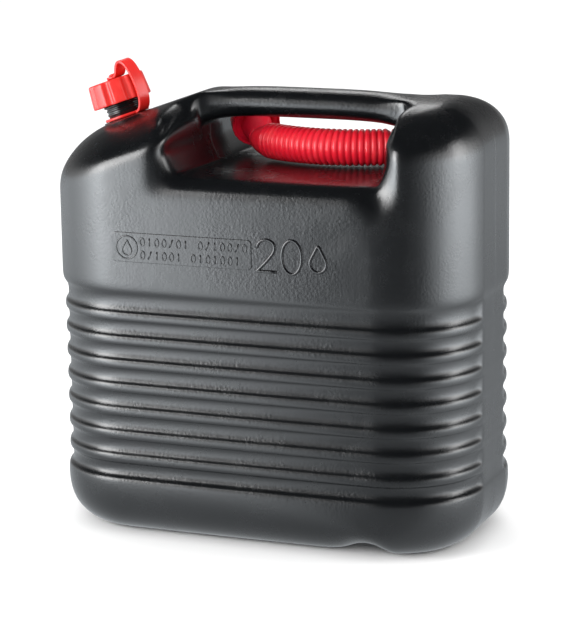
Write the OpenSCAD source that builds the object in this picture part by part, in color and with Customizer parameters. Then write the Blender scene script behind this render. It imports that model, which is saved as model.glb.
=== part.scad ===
// Stackable fuel can with a screw cap on a tether and a flexible pouring spout kept
// in the handle recess. X runs along the long side, Y through the recess, Z is up.
// The origin is on the ground under the middle of the can. Millimetres.

/* [Can] */
// Overall width along X
can_w = 370; // [310:1:450]
// Overall depth along Y
can_d = 205; // [170:1:250]
// Height of the shoulder beside the handle
shoulder_h = 364; // [345:1:440]
// Plan radius of the four upright corners
corner_r = 73; // [55:1:80]
// Wall thickness of the blown shell
wall_t = 2.5; // [1.8:0.1:4]
// Radius where the sides turn under the base
base_r = 36; // [25:1:40]
// Rounding of the top edges
top_edge_r = 25; // [15:1:30]

/* [Ribs] */
// Number of beads round the can
rib_count = 7; // [3:1:8]
// Height from one bead to the next
rib_pitch = 20.1; // [18:0.1:22]
// Height of one bead
rib_h = 10.4; // [8:0.1:12]
// Depth of the flat grooves below the shoulder section
groove_in = 5.8; // [4:0.1:8]
// Depth of the bead crests below the shoulder section
crest_in = 2.8; // [1:0.1:3.5]
// Plain band between the rounding of the base and the lowest bead
base_band = 17.2; // [15:0.1:24]
// Width of the upright pads on the narrow sides
side_pad_w = 58; // [40:1:60]

/* [Handle and recess] */
// Distance from the left side to the recess
recess_from_left = 120; // [110:1:130]
// Distance from the right side to the recess
recess_from_right = 67; // [60:1:80]
// Gap between the stowed hose and the ends of the handle's underside
hose_room = 3.3; // [2:0.1:15]
// Radius in the lower corners of the recess
recess_r = 18; // [8:1:25]
// Depth of the handle bar along Y
handle_d = 42; // [34:1:48]
// Height of the handle bar
handle_h = 25; // [20:1:28]
// Rise of the handle in the middle
handle_arch = 5; // [2:0.5:8]

/* [Pour grip] */
// Distance from the right side to the middle of the grip under the base
grip_from_right = 86; // [75:1:100]
// Width of the grip
grip_w = 46; // [35:1:55]
// Height of the grip
grip_h = 5.2; // [3:0.1:8]

/* [Neck and cap] */
// Distance from the left side to the foot of the neck
neck_from_left = 45; // [42:1:50]
// Lean of the neck and of the left shoulder
neck_tilt = 19.5; // [12:0.5:24]
// Radius of the neck under its thread
neck_r = 15; // [13:0.1:17]
// Height of the neck above the shoulder
neck_h = 28.5; // [26:0.1:35]
// Radius of the bore through the neck
neck_bore_r = 12.2; // [10:0.1:13.5]
// Rise of one turn of thread
thread_pitch = 4; // [3.5:0.1:5]
// Height of the thread above its root
thread_h = 2; // [1.5:0.1:2.4]
// Outer radius of the cap at its lower rim
cap_r = 25.3; // [23:0.1:31]
// Thickness of the cap's top
cap_top_t = 2.95; // [2:0.05:4]
// Number of grooves round the cap
cap_grooves = 9; // [6:1:16]
// Thickness of the sealing washers
washer_t = 1.8; // [1:0.1:2.5]

/* [Tether] */
// Width of the tether strap
strap_w = 11.5; // [8:0.5:14]
// Thickness of the ring and of the strap
strap_t = 2.4; // [1.5:0.1:3]
// Turn of the strap round the neck
strap_turn = -24; // [-60:1:60]

/* [Spout] */
// Outer radius of the hose
hose_r = 15.2; // [12:0.1:19]
// Wall of the hose
hose_t = 2.4; // [1.2:0.1:3]
// Outer radius of the union nut
nut_r = 20.5; // [19.6:0.1:22]
// Height of the union nut
nut_h = 12; // [10:0.5:13]
// Length of the cone between the nut and the hose
cone_l = 22; // [16:1:26]
// Length of the outlet
outlet_l = 20; // [15:1:24]

/* [Clearances] */
// Gap between the cap and the neck, and between their threads
thread_gap = 0.4; // [0.3:0.05:0.6]
// Gap between turning parts and their seats
turn_gap = 0.1; // [0.06:0.01:0.3]
// Gap between the stowed spout and the recess floor
stow_gap = 0.8; // [0.4:0.1:2]

/* [Hidden] */
$fn = 72;

over = 1;                                     // overrun of cuts past a face
left_x = -can_w / 2;
right_x = can_w / 2;
recess_x0 = left_x + recess_from_left;
recess_x1 = right_x - recess_from_right;
recess_mid = (recess_x0 + recess_x1) / 2;
recess_drop = handle_h + hose_room + 2 * hose_r + stow_gap;
floor_z = shoulder_h - recess_drop;
handle_z0 = shoulder_h - handle_h + handle_arch;

// Side walls, from the base up to the shoulder section
base_in = 1.4;                                // base section below the shoulder section
rib_flat = 2.6;                               // half height of a bead's flat crest
bead_root = rib_h / 2;
base_top_z = base_r + base_band;              // top of the base section
first_bead = rib_pitch - 5.4;                 // middle of the lowest bead above the base section
rib_top_z = base_top_z + first_bead + (rib_count - 1) * rib_pitch;
rib_zone_top = rib_top_z + 19.5;              // where the shoulder section starts
arc_n = 6;                                    // steps in a rounded edge

// Neck frame: foot on the sloping shoulder, s runs up the neck
neck_x = left_x + neck_from_left;
neck_z = shoulder_h - (recess_x0 - neck_x) * tan(neck_tilt);
boss_h = 0.2;                                 // flat seat round the foot of the neck
crest_r = neck_r + thread_h;
thread_root_w = 2;
thread_crest_w = 0.8;
thread_steps = 20;
thread_sink = 0.6;                            // a thread's root lies this deep in its wall
bead_s = 12;                                  // stop bead under the cap
bead_t = 1.2;
neck_thread_s = 14;
neck_thread_turns = 3;
cap_s = 13;
cap_thread_s = neck_thread_s + thread_pitch / 2;
cap_thread_turns = 2;
cap_bore_r = crest_r + thread_gap;
seal_gap = 0.05;
gasket_s = neck_h + seal_gap;
cap_ceiling_s = gasket_s + washer_t;
cap_top_s = cap_ceiling_s + cap_top_t;
cap_h = cap_top_s - cap_s;
cap_draft = 1.3;                              // cap is this much slimmer at the top
groove_r = 2.6;

// Tether
ring_r = neck_r + 4.1;
ring_s = boss_h + 0.1;
strap_reach = cap_r + 3;                      // radius of the strap's upright part
stud_r = 3;
stud_head_r = 4.6;
eye_r = 6.6;
eye_gap = 0.3;                                // play above and below the eye on its stud
eye_s = cap_top_s + eye_gap;
stud_h = strap_t + 2 * eye_gap;
stud_head_h = 1.6;
strap_foot_r = 4.5;
arch_s = cap_s + 7;                           // where the strap starts to curve over
arch_clear = 12.2;                            // top of the arch above the cap
arch_rise = cap_top_s - arch_s + arch_clear;
arch_run = 0.389 * strap_reach;
eye_tab = 9.8;
strap_end_s = eye_s + strap_t + 0.1;

// Spout, stowed under the handle
hose_z = floor_z + hose_r + stow_gap;
hose_y = -3;                                  // middle of the hose
hose_bow = 15;                                // its ends lie this much further back
hose_x0 = recess_x0 + 51;
hose_x1 = recess_x1 - outlet_l - 6;
hose_xm = (hose_x0 + hose_x1) / 2;
hose_half = (hose_x1 - hose_x0) / 2;
nut_aim = [0.505, -0.79, -0.347];             // down and forward, towards the hose
nut_dir = nut_aim / norm(nut_aim);
nut_face = [recess_x0 + nut_r + 7, 35, hose_z + 9.3];
waist = nut_face + cone_l * nut_dir;
waist_r = 10;
waist_t = 2;
spout_bore_r = 10.6;                          // bore behind the cone
flange_r = 17.6;
flange_t = 2.2;
spigot_r = 13;
nut_lip = 2.4;
nut_grooves = 24;
hose_sides = 16;
hose_rings = 26;
cuff_pull = 14;                               // how far the cuff keeps the nut's direction
outlet_base_h = 4;
outlet_r0 = 12;
outlet_r1 = 9.5;
outlet_bore_r = 7.5;

// ---- helpers ----
function arc(cx, cy, r, a0, a1, n = arc_n) =
    [for (i = [0:n]) let (a = a0 + (a1 - a0) * i / n) [cx + r * cos(a), cy + r * sin(a)]];

// Side profile at half size h, with every face moved in by k
function side_profile(h, k, top) = concat(
    [[0, k]],
    arc(h - base_in - base_r, base_r, base_r - k, -90, 0),
    [[h - base_in - k, base_top_z - 5 - k], [h - groove_in - k, base_top_z - k]],
    [for (i = [rib_count - 1:-1:0]) let (z = rib_top_z - i * rib_pitch) each
        [[h - groove_in - k, z - bead_root - k / 4], [h - crest_in - k, z - rib_flat],
         [h - crest_in - k, z + rib_flat], [h - groove_in - k, z + bead_root + k / 4]]],
    [[h - groove_in - k, rib_zone_top - 3 + k], [h - k, rib_zone_top + 4 + k], [h - k, top], [0, top]]);

function mirrored(p) = concat(p, [for (i = [len(p) - 1:-1:0]) [-p[i][0], p[i][1]]]);

module along_y(d) {
    rotate([90, 0, 0]) linear_extrude(d, center = true) children();
}

module along_x(d) {
    rotate([90, 0, 90]) linear_extrude(d, center = true) children();
}

module at_neck() {
    translate([neck_x, 0, neck_z]) rotate([0, -neck_tilt, 0]) children();
}

// Turns +Z onto the direction d
module aim(d) {
    rotate([0, acos(d[2]), atan2(d[1], d[0])]) children();
}

// One closed helical thread, its root in the wall at radius r0 and its crest at r1
module thread(r0, r1, s0, turns) {
    outward = r1 > r0;
    root = outward ? r0 - thread_sink : r0 + thread_sink;
    steps = turns * thread_steps;
    wide = thread_root_w / 2;
    slim = thread_crest_w / 2;
    section = outward ? [[root, -wide], [r1, -slim], [r1, slim], [root, wide]]
                      : [[root, -wide], [root, wide], [r1, slim], [r1, -slim]];
    pts = [for (i = [0:steps], q = section) let (a = 360 * i / thread_steps)
        [q[0] * cos(a), q[0] * sin(a), s0 + thread_pitch * i / thread_steps + q[1]]];
    polyhedron(pts, concat(
        [[3, 2, 1, 0]],
        [for (i = [0:steps - 1], j = [0:3]) let (a = i * 4 + j, b = i * 4 + (j + 1) % 4)
            [a, b, b + 4, a + 4]],
        [[for (j = [0:3]) steps * 4 + j]]));
}

// ---- tank ----
module walls(k) {
    top = shoulder_h + 3 * over;
    flat_x = can_w / 2 - corner_r;
    flat_y = can_d / 2 - corner_r;
    along_y(2 * flat_y) polygon(mirrored(side_profile(can_w / 2, k, top)));
    along_x(2 * flat_x) polygon(mirrored(side_profile(can_d / 2, k, top)));
    for (c = [[1, 1, 0], [-1, 1, 90], [-1, -1, 180], [1, -1, 270]])
        translate([c[0] * flat_x, c[1] * flat_y, 0]) rotate([0, 0, c[2]])
            rotate_extrude(angle = 90) polygon(side_profile(corner_r, k, top));
}

// Section across the can, with rounded top edges
module across(k, top, r) {
    h = can_d / 2 + over - k;
    hr = can_d / 2 - k;
    polygon(mirrored(concat([[h, -over], [h, top - k - r + over / 2]],
                            arc(hr - r, top - k - r, r, 0, 90))));
}

module left_shoulder(k) {
    long = can_w;
    intersection() {
        walls(k);
        translate([recess_x0, 0, shoulder_h]) rotate([0, -neck_tilt, 0])
            translate([-long / 2 + 60, 0, -shoulder_h * 1.6])
                along_x(long) across(k, shoulder_h * 1.6, top_edge_r - k);
        along_y(can_d + 4 * over) left_outline(k);
    }
}

// Left block seen from the front: rounded where the slope meets the side
module left_outline(k) {
    r = top_edge_r + 3 - k;
    cx = left_x + k + r;
    top_at = neck_z + (cx - neck_x) * tan(neck_tilt) - k / cos(neck_tilt);
    cz = top_at - r / cos(neck_tilt);
    polygon(concat([[recess_x0 - k, -over], [recess_x0 - k, shoulder_h + 2 * over],
                    [cx, shoulder_h + 2 * over]],
                   arc(cx, cz, r, 90 + neck_tilt, 180), [[left_x + k, -over]]));
}

module right_shoulder(k) {
    r = top_edge_r + 4 - k;
    intersection() {
        walls(k);
        translate([recess_x1, 0, 0]) along_x(can_w) across(k, shoulder_h, top_edge_r - k);
        along_y(can_d + 4 * over)
            polygon(concat([[recess_x1 + k, -over], [right_x - k, -over]],
                           arc(right_x - k - r, shoulder_h - k - r, r, 0, 90),
                           [[recess_x1 + k, shoulder_h - k]]));
    }
}

module middle(k) {
    intersection() {
        walls(k);
        translate([recess_mid, 0, 0]) along_x(recess_x1 - recess_x0 + 2 * k) across(k, floor_z, 14 - k);
    }
    if (k == 0) for (c = [[recess_x0, 0], [recess_x1, 1]])
        intersection() {
            walls(0);
            translate([c[0], 0, floor_z]) mirror([c[1], 0, 0]) along_y(can_d) difference() {
                square(recess_r);
                translate([recess_r, recess_r]) circle(recess_r);
            }
            translate([recess_mid, 0, 0]) along_x(can_w) across(0, shoulder_h, top_edge_r);
        }
}

// Handle bar with an arched top, tied into both shoulders
module handle_bar(k) {
    r = 10 - k;
    hd = handle_d / 2 - k;
    x0 = recess_x0 - k - wall_t - over;
    x1 = recess_x1 + k + wall_t + over;
    half = (recess_x1 - recess_x0) / 2;
    steps = 16;
    lift = function (u) handle_arch * (1 - u * u);
    intersection() {
        translate([recess_mid, 0, 0]) along_x(x1 - x0)
            polygon(mirrored(concat(
                arc(hd - r, handle_z0 - handle_arch + k + r, r, -90, 0),
                arc(hd - r, shoulder_h - k - 1 - r + handle_arch, r, 0, 90))));
        along_y(can_d) polygon(concat(
            [[x0, handle_z0 - handle_arch + k]],
            [for (i = [0:steps]) let (u = -1 + 2 * i / steps)
                [recess_mid + half * u, handle_z0 - handle_arch + k + lift(u)]],
            [[x1, handle_z0 - handle_arch + k], [x1, shoulder_h - k - 1]],
            [for (i = [steps:-1:0]) let (u = -1 + 2 * i / steps)
                [recess_mid + half * u, shoulder_h - k - 1 + lift(u)]],
            [[x0, shoulder_h - k - 1]]));
    }
}

module side_pads(k) {
    for (m = [0, 1]) mirror([m, 0, 0])
        translate([right_x - groove_in - 2 - k, -side_pad_w / 2 + k, base_top_z - 8])
            cube([groove_in + 2 - crest_in, side_pad_w - 2 * k, rib_zone_top - base_top_z + 8]);
}

module grip_cut(k) {
    r = (grip_w * grip_w / 4 + grip_h * grip_h) / (2 * grip_h);
    translate([right_x - grip_from_right, 0, grip_h - r]) rotate([90, 0, 0])
        cylinder(r = r + k, h = can_d + 2 * over, center = true, $fn = 180);
}

module tank_form(k) {
    difference() {
        union() {
            left_shoulder(k);
            middle(k);
            right_shoulder(k);
            handle_bar(k);
            side_pads(k);
        }
        grip_cut(k);
    }
}

module tank_body() {
    color([0.05, 0.055, 0.06]) {
        difference() {
            union() {
                tank_form(0);
                at_neck() {
                    translate([0, 0, -wall_t]) cylinder(r = neck_r, h = neck_h + wall_t);
                    translate([0, 0, -wall_t]) cylinder(r = ring_r + 1, h = boss_h + wall_t);
                    translate([0, 0, bead_s - bead_t / 2]) cylinder(r = crest_r, h = bead_t);
                    thread(neck_r, crest_r, neck_thread_s, neck_thread_turns);
                }
            }
            tank_form(wall_t);
            at_neck() translate([0, 0, -12]) cylinder(r = neck_bore_r, h = neck_h + 12 + over);
        }
    }
}

// ---- tether ----
module strap_frame() {
    at_neck() rotate([0, 0, strap_turn]) children();
}

module tether_ring() {
    color([0.8, 0.1, 0.08]) at_neck() difference() {
        translate([0, 0, ring_s]) cylinder(r = ring_r, h = strap_t);
        translate([0, 0, ring_s - over]) cylinder(r = neck_r + turn_gap, h = strap_t + 2 * over);
    }
}

// Middle line of the strap: out from the ring, up beside the cap and over its top
strap_path = concat(
    [[ring_r - 0.5, ring_s + strap_t / 2]],
    arc(strap_reach - strap_foot_r, ring_s + strap_t / 2 + strap_foot_r, strap_foot_r, -90, 0),
    [for (i = [0:18]) let (a = 158 * i / 18)
        [strap_reach - arch_run + arch_run * cos(a), arch_s + arch_rise * sin(a)]]);

function strap_normal(i) = let (n = len(strap_path), a = strap_path[max(i - 1, 0)],
    b = strap_path[min(i + 1, n - 1)], t = (b - a) / norm(b - a)) [t[1], -t[0]];

function strap_side(d) = [for (i = [0:len(strap_path) - 1]) strap_path[i] + d * strap_normal(i)];

module tether_strap() {
    back = strap_side(-strap_t / 2);
    color([0.8, 0.1, 0.08]) strap_frame() difference() {
        rotate([90, 0, 0]) linear_extrude(strap_w, center = true)
            polygon(concat(strap_side(strap_t / 2), [for (i = [len(back) - 1:-1:0]) back[i]]));
        cylinder(r = ring_r, h = arch_s);
        translate([-eye_tab, -strap_w, cap_s]) cube([2 * eye_tab + 2, 2 * strap_w, strap_end_s - cap_s]);
    }
}

module tether_eye() {
    color([0.8, 0.1, 0.08]) strap_frame() difference() {
        union() {
            translate([0, 0, eye_s]) cylinder(r = eye_r, h = strap_t);
            translate([0, -strap_w / 2, eye_s]) cube([eye_tab, strap_w, strap_t]);
        }
        translate([0, 0, eye_s - over]) cylinder(r = stud_r + turn_gap, h = strap_t + 2 * over);
    }
}

// ---- cap ----
module screw_cap() {
    color([0.85, 0.12, 0.08]) at_neck() {
        difference() {
            union() {
                translate([0, 0, cap_s]) cylinder(r1 = cap_r, r2 = cap_r - cap_draft, h = cap_h);
                translate([0, 0, cap_top_s]) cylinder(r = stud_r, h = stud_h);
                translate([0, 0, cap_top_s + stud_h]) cylinder(r1 = stud_head_r, r2 = stud_r, h = stud_head_h);
            }
            translate([0, 0, cap_s - over]) cylinder(r = cap_bore_r, h = cap_ceiling_s - cap_s + over);
            for (i = [0:cap_grooves - 1]) rotate([0, 0, 360 * (i + 0.5) / cap_grooves])
                translate([cap_r + groove_r * 0.25, 0, cap_s - over])
                    cylinder(r = groove_r, h = cap_h + 2 * over, $fn = 24);
        }
        thread(cap_bore_r, neck_r + thread_gap, cap_thread_s, cap_thread_turns);
    }
}

module cap_gasket() {
    color([0.15, 0.15, 0.15]) at_neck() difference() {
        translate([0, 0, gasket_s]) cylinder(r = cap_bore_r - turn_gap, h = washer_t);
        translate([0, 0, gasket_s - over]) cylinder(r = neck_bore_r - 2, h = washer_t + 2 * over);
    }
}

// ---- spout ----
module at_nut() {
    translate(nut_face) aim(nut_dir) children();
}

module spout_union_nut() {
    color([0.75, 0.08, 0.12]) at_nut() difference() {
        translate([0, 0, -nut_h]) cylinder(r = nut_r, h = nut_h);
        translate([0, 0, -nut_h - over]) cylinder(r = flange_r + turn_gap, h = nut_h - nut_lip + over);
        translate([0, 0, -nut_h]) cylinder(r = spigot_r + turn_gap, h = nut_h + over);
        for (i = [0:nut_grooves - 1]) rotate([0, 0, 360 * i / nut_grooves])
            translate([nut_r + 0.5, 0, -nut_h - over]) cylinder(r = 1, h = nut_h + 2 * over, $fn = 16);
    }
}

module spout_adapter() {
    face = -nut_lip - turn_gap;
    color([0.75, 0.08, 0.12]) at_nut() rotate_extrude() polygon([
        [waist_r - waist_t, cone_l], [spout_bore_r, 2], [spout_bore_r, face - flange_t],
        [flange_r, face - flange_t], [flange_r, face], [spigot_r, face],
        [spigot_r, 2], [waist_r, cone_l]]);
}

module spout_gasket() {
    back = -nut_lip - turn_gap - flange_t - washer_t;
    color([0.15, 0.15, 0.15]) at_nut() difference() {
        translate([0, 0, back]) cylinder(r = flange_r - turn_gap, h = washer_t);
        translate([0, 0, back - over]) cylinder(r = spout_bore_r, h = washer_t + 2 * over);
    }
}

// Middle line of the hose: a cuff off the cone, then a shallow bow under the handle
function bow(u) = [hose_xm + hose_half * u, hose_y + hose_bow * u * u, hose_z];
function hermite(p, q, m, n, t) = (2 * t * t * t - 3 * t * t + 1) * p + (t * t * t - 2 * t * t + t) * m
    + (3 * t * t - 2 * t * t * t) * q + (t * t * t - t * t) * n;
cuff_n = 6;
bow_start = [hose_half, -2 * hose_bow, 0] / norm([hose_half, 2 * hose_bow, 0]);
bow_end = [hose_half, 2 * hose_bow, 0] / norm([hose_half, 2 * hose_bow, 0]);
hose_path = concat(
    [for (i = [0:cuff_n - 1]) hermite(waist, bow(-1), nut_dir * cuff_pull, bow_start * cuff_pull, i / cuff_n)],
    [for (i = [0:hose_rings - 1 - cuff_n]) bow(-1 + 2 * i / (hose_rings - 1 - cuff_n))]);
hose_radii = concat(
    [for (i = [0:cuff_n - 1]) let (t = i / cuff_n) waist_r + (hose_r - waist_r) * t * t * (3 - 2 * t)],
    [for (i = [cuff_n:hose_rings - 1]) hose_r]);

function hose_dir(i) = let (n = hose_rings - 1,
    d = i == 0 ? nut_dir : i == n ? bow_end : hose_path[i + 1] - hose_path[i - 1]) d / norm(d);

function ring_points(i, r) = let (d = hose_dir(i), w = cross([0, 0, 1], d), u = w / norm(w), v = cross(d, u))
    [for (j = [0:hose_sides - 1]) let (a = 360 * j / hose_sides)
        hose_path[i] + r * (cos(a) * u + sin(a) * v)];

module spout_hose() {
    n = hose_sides;
    m = hose_rings * n;
    pts = concat(
        [for (i = [0:hose_rings - 1]) each ring_points(i, hose_radii[i])],
        [for (i = [0:hose_rings - 1]) each ring_points(i, hose_radii[i] - (i == 0 ? waist_t : hose_t))]);
    last = (hose_rings - 1) * n;
    color([0.86, 0.1, 0.15]) polyhedron(pts, concat(
        [for (i = [0:hose_rings - 2], j = [0:n - 1]) let (a = i * n + j, b = i * n + (j + 1) % n)
            [a + n, b + n, b, a]],
        [for (i = [0:hose_rings - 2], j = [0:n - 1]) let (a = m + i * n + j, b = m + i * n + (j + 1) % n)
            [a, b, b + n, a + n]],
        [for (j = [0:n - 1]) let (k = (j + 1) % n) [j, k, m + k, m + j]],
        [for (j = [0:n - 1]) let (k = (j + 1) % n) [last + j, m + last + j, m + last + k, last + k]]));
}

module spout_outlet() {
    color([0.8, 0.08, 0.12]) translate(bow(1)) aim(bow_end) difference() {
        union() {
            cylinder(r = hose_r - 0.6, h = outlet_base_h);
            translate([0, 0, outlet_base_h])
                cylinder(r1 = outlet_r0, r2 = outlet_r1, h = outlet_l - outlet_base_h);
        }
        translate([0, 0, -over]) cylinder(r = outlet_bore_r, h = outlet_l + 2 * over);
    }
}

tank_body();
tether_ring();
tether_strap();
tether_eye();
screw_cap();
cap_gasket();
spout_union_nut();
spout_adapter();
spout_gasket();
spout_hose();
spout_outlet();
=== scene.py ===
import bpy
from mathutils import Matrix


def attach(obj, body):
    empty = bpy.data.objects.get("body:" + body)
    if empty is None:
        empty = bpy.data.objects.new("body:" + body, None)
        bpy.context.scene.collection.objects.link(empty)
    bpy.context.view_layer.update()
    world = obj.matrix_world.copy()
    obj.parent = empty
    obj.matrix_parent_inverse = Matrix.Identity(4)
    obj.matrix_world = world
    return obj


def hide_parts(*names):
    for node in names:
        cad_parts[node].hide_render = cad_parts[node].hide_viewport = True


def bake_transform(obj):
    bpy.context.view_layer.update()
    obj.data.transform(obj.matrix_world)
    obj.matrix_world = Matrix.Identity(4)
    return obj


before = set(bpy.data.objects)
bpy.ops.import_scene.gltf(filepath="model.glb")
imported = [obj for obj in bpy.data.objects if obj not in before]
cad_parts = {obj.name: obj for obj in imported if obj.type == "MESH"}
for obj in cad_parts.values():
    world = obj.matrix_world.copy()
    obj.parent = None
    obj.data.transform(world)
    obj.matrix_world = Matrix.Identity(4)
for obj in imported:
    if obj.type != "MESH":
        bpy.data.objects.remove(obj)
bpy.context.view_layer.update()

import math
import bmesh
import bpy
from mathutils import Matrix, Vector

mm = 0.001
scene = bpy.context.scene
scene.view_settings.view_transform = "Standard"

# camera, floor and lights

cameraView = {"azimuth": 22.055, "elevation": 12.768, "roll": -0.867, "distance": 2.29566,
              "lookAt": (-0.000144, 0.0, 0.17587), "lens": 156.93}


def makeGroup(name, sockets):
    group = bpy.data.node_groups.new(name, "ShaderNodeTree")
    for label, way, kind, value in sockets:
        s = group.interface.new_socket(name=label, in_out=way, socket_type=kind)
        if value is not None:
            s.default_value = value
    return group, group.nodes.new("NodeGroupInput"), group.nodes.new("NodeGroupOutput")


def addNode(tree, kind, values=None, **facts):
    node = tree.nodes.new(kind)
    for k, v in facts.items():
        setattr(node, k, v)
    for k, v in (values or {}).items():
        node.inputs[k].default_value = v
    return node


def makeCamera(c):
    az, el, roll = (math.radians(c[k]) for k in ("azimuth", "elevation", "roll"))
    back = Vector((math.sin(az) * math.cos(el), -math.cos(az) * math.cos(el), math.sin(el)))
    right = Vector((math.cos(az), math.sin(az), 0))
    up = back.cross(right)
    side = math.cos(roll) * right + math.sin(roll) * up
    top = math.cos(roll) * up - math.sin(roll) * right
    data = bpy.data.cameras.new("camera")
    data.lens = c["lens"]
    data.clip_end = 60
    cam = bpy.data.objects.new("camera", data)
    scene.collection.objects.link(cam)
    turn = Matrix((side, top, back)).transposed().to_4x4()
    cam.matrix_world = Matrix.Translation(Vector(c["lookAt"]) + back * c["distance"]) @ turn
    scene.camera = cam


softLights = {
    # name: place, point it faces, width, height, watts, whether gloss shows it
    "keyLeft": ((-1.6, -1.6, 0.85), (-0.05, -0.1, 0.15), 1.2, 1.2, 44, True),
    "sideRight": ((1.85, 0.35, 0.75), (0.12, -0.05, 0.2), 0.7, 1.2, 12, True),
    "overhead": ((0.1, 0.35, 2.0), (0.0, 0.0, 0.2), 1.0, 0.7, 6, False),
    "hoseFill": ((0.75, -1.9, 1.0), (0.03, 0.0, 0.33), 0.5, 0.5, 12, False),
    "backLeft": ((-0.75, 1.9, 1.4), (-0.1, 0.1, 0.25), 0.6, 0.5, 3, True),
}

# the room lights things by its strength, and gloss sees it dark but for a glow above the horizon
roomLight = {"strength": 1.18, "inGloss": 0.02, "horizon": 8.0, "fadeBy": 0.55}

# painted glow of the floor, which gloss rays see in place of its paint and which paints the reflections on the
# can: bright to the front left and in a band at the right, brighter further out
floorPaintedGlow = {
    "middle": (0.1, -0.1), "perMetre": 6.9, "furthest": 1.6, "tint": (0.93, 0.98, 1.02),
    "near": 0.7, "nearEnds": 0.1, "far": 0.1, "farStarts": 1.2,
    # degrees round the middle, counted from the right and towards the back: brightness
    "rays": ((-180, 0.22), (-165, 0.4), (-150, 0.75), (-138, 1.2), (-127, 1.1), (-120, 0.55), (-115, 0.2),
             (-109, 0.05), (-102, 0.02), (-60, 0.012), (-38, 0.06), (-20, 0.35), (-6, 0.75), (14, 0.8),
             (30, 0.6), (46, 0.22), (60, 0.07), (120, 0.03), (150, 0.08), (180, 0.22)),
}
brightestRay = max(bright for deg, bright in floorPaintedGlow["rays"])

floorLook = {"radius": 14.0, "colour": (0.92, 0.92, 0.92), "roughness": 0.9}


def makeRays(look):
    # share of the brightest ray, from 0 to 1, by the direction round the can
    group, ins, outs = makeGroup("glossRays", [
        ("Vector", "INPUT", "NodeSocketVector", None), ("Share", "OUTPUT", "NodeSocketFloat", None)])
    split = group.nodes.new("ShaderNodeSeparateXYZ")
    angle = addNode(group, "ShaderNodeMath", operation="ARCTAN2")
    turn = addNode(group, "ShaderNodeMapRange", {"From Min": -math.pi, "From Max": math.pi})
    ramp = group.nodes.new("ShaderNodeValToRGB")
    stops = ramp.color_ramp.elements
    while len(stops) < len(look["rays"]):
        stops.new(0.5)
    for stop, (deg, bright) in zip(stops, look["rays"]):
        share = bright / brightestRay
        stop.position = (deg + 180) / 360
        stop.color = (share, share, share, 1)
    link = group.links.new
    link(ins.outputs["Vector"], split.inputs["Vector"])
    link(split.outputs["Y"], angle.inputs[0])
    link(split.outputs["X"], angle.inputs[1])
    link(angle.outputs[0], turn.inputs["Value"])
    link(turn.outputs["Result"], ramp.inputs["Fac"])
    link(ramp.outputs["Color"], outs.inputs["Share"])
    return group


raysGroup = makeRays(floorPaintedGlow)


def makeFloorPaintAndGlow(look):
    # plain pale paint for the camera and for diffuse light; gloss rays see a painted glow instead, lit on one
    # side and dark on the other, which paints the reflections on the can
    mat = bpy.data.materials.new("paleFloorPaintedGlow")
    mat.use_nodes = True
    tree = mat.node_tree
    link = tree.links.new
    paint = tree.nodes["Principled BSDF"]
    paint.inputs["Base Color"].default_value = (*floorLook["colour"], 1)
    paint.inputs["Roughness"].default_value = floorLook["roughness"]
    coords = tree.nodes.new("ShaderNodeTexCoord")
    shift = addNode(tree, "ShaderNodeVectorMath", {1: (*look["middle"], 0)}, operation="SUBTRACT")
    away = addNode(tree, "ShaderNodeVectorMath", operation="LENGTH")
    rays = addNode(tree, "ShaderNodeGroup", node_tree=raysGroup)
    within = addNode(tree, "ShaderNodeMath", {1: look["furthest"]}, operation="MINIMUM")
    reach = addNode(tree, "ShaderNodeMath", {1: look["perMetre"] * brightestRay}, operation="MULTIPLY")
    close = addNode(tree, "ShaderNodeMapRange", {"From Min": look["nearEnds"], "From Max": look["farStarts"],
                                                 "To Min": look["near"], "To Max": look["far"]})
    power = addNode(tree, "ShaderNodeMath", operation="MULTIPLY_ADD")
    # painted glow: an emission that the floor shows to gloss rays only, though it is no lamp
    paintedGlow = addNode(tree, "ShaderNodeEmission", {"Color": (*look["tint"], 1)})
    path = tree.nodes.new("ShaderNodeLightPath")
    choose = tree.nodes.new("ShaderNodeMixShader")
    link(coords.outputs["Object"], shift.inputs[0])
    link(shift.outputs["Vector"], away.inputs[0])
    link(shift.outputs["Vector"], rays.inputs["Vector"])
    link(away.outputs["Value"], within.inputs[0])
    link(within.outputs[0], reach.inputs[0])
    link(reach.outputs[0], power.inputs[0])
    link(rays.outputs["Share"], power.inputs[1])
    link(away.outputs["Value"], close.inputs["Value"])
    link(close.outputs["Result"], power.inputs[2])
    link(power.outputs[0], paintedGlow.inputs["Strength"])
    link(path.outputs["Is Glossy Ray"], choose.inputs[0])
    link(paint.outputs["BSDF"], choose.inputs[1])
    link(paintedGlow.outputs["Emission"], choose.inputs[2])
    link(choose.outputs["Shader"], tree.nodes["Material Output"].inputs["Surface"])
    return mat


def makeLamps():
    for name, (place, target, wide, high, watts, inGloss) in softLights.items():
        data = bpy.data.lights.new(name, "AREA")
        data.shape, data.size, data.size_y, data.energy = "RECTANGLE", wide, high, watts
        lamp = bpy.data.objects.new(name, data)
        lamp.visible_glossy = inGloss
        scene.collection.objects.link(lamp)
        aim = Vector(target) - Vector(place)
        lamp.matrix_world = Matrix.Translation(place) @ aim.to_track_quat("-Z", "Y").to_matrix().to_4x4()


def makeFloor(look):
    bm = bmesh.new()
    bmesh.ops.create_circle(bm, cap_ends=True, segments=64, radius=look["radius"])
    mesh = bpy.data.meshes.new("floor")
    bm.to_mesh(mesh)
    bm.free()
    floor = bpy.data.objects.new("floor", mesh)
    scene.collection.objects.link(floor)
    mesh.materials.append(makeFloorPaintAndGlow(floorPaintedGlow))


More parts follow.
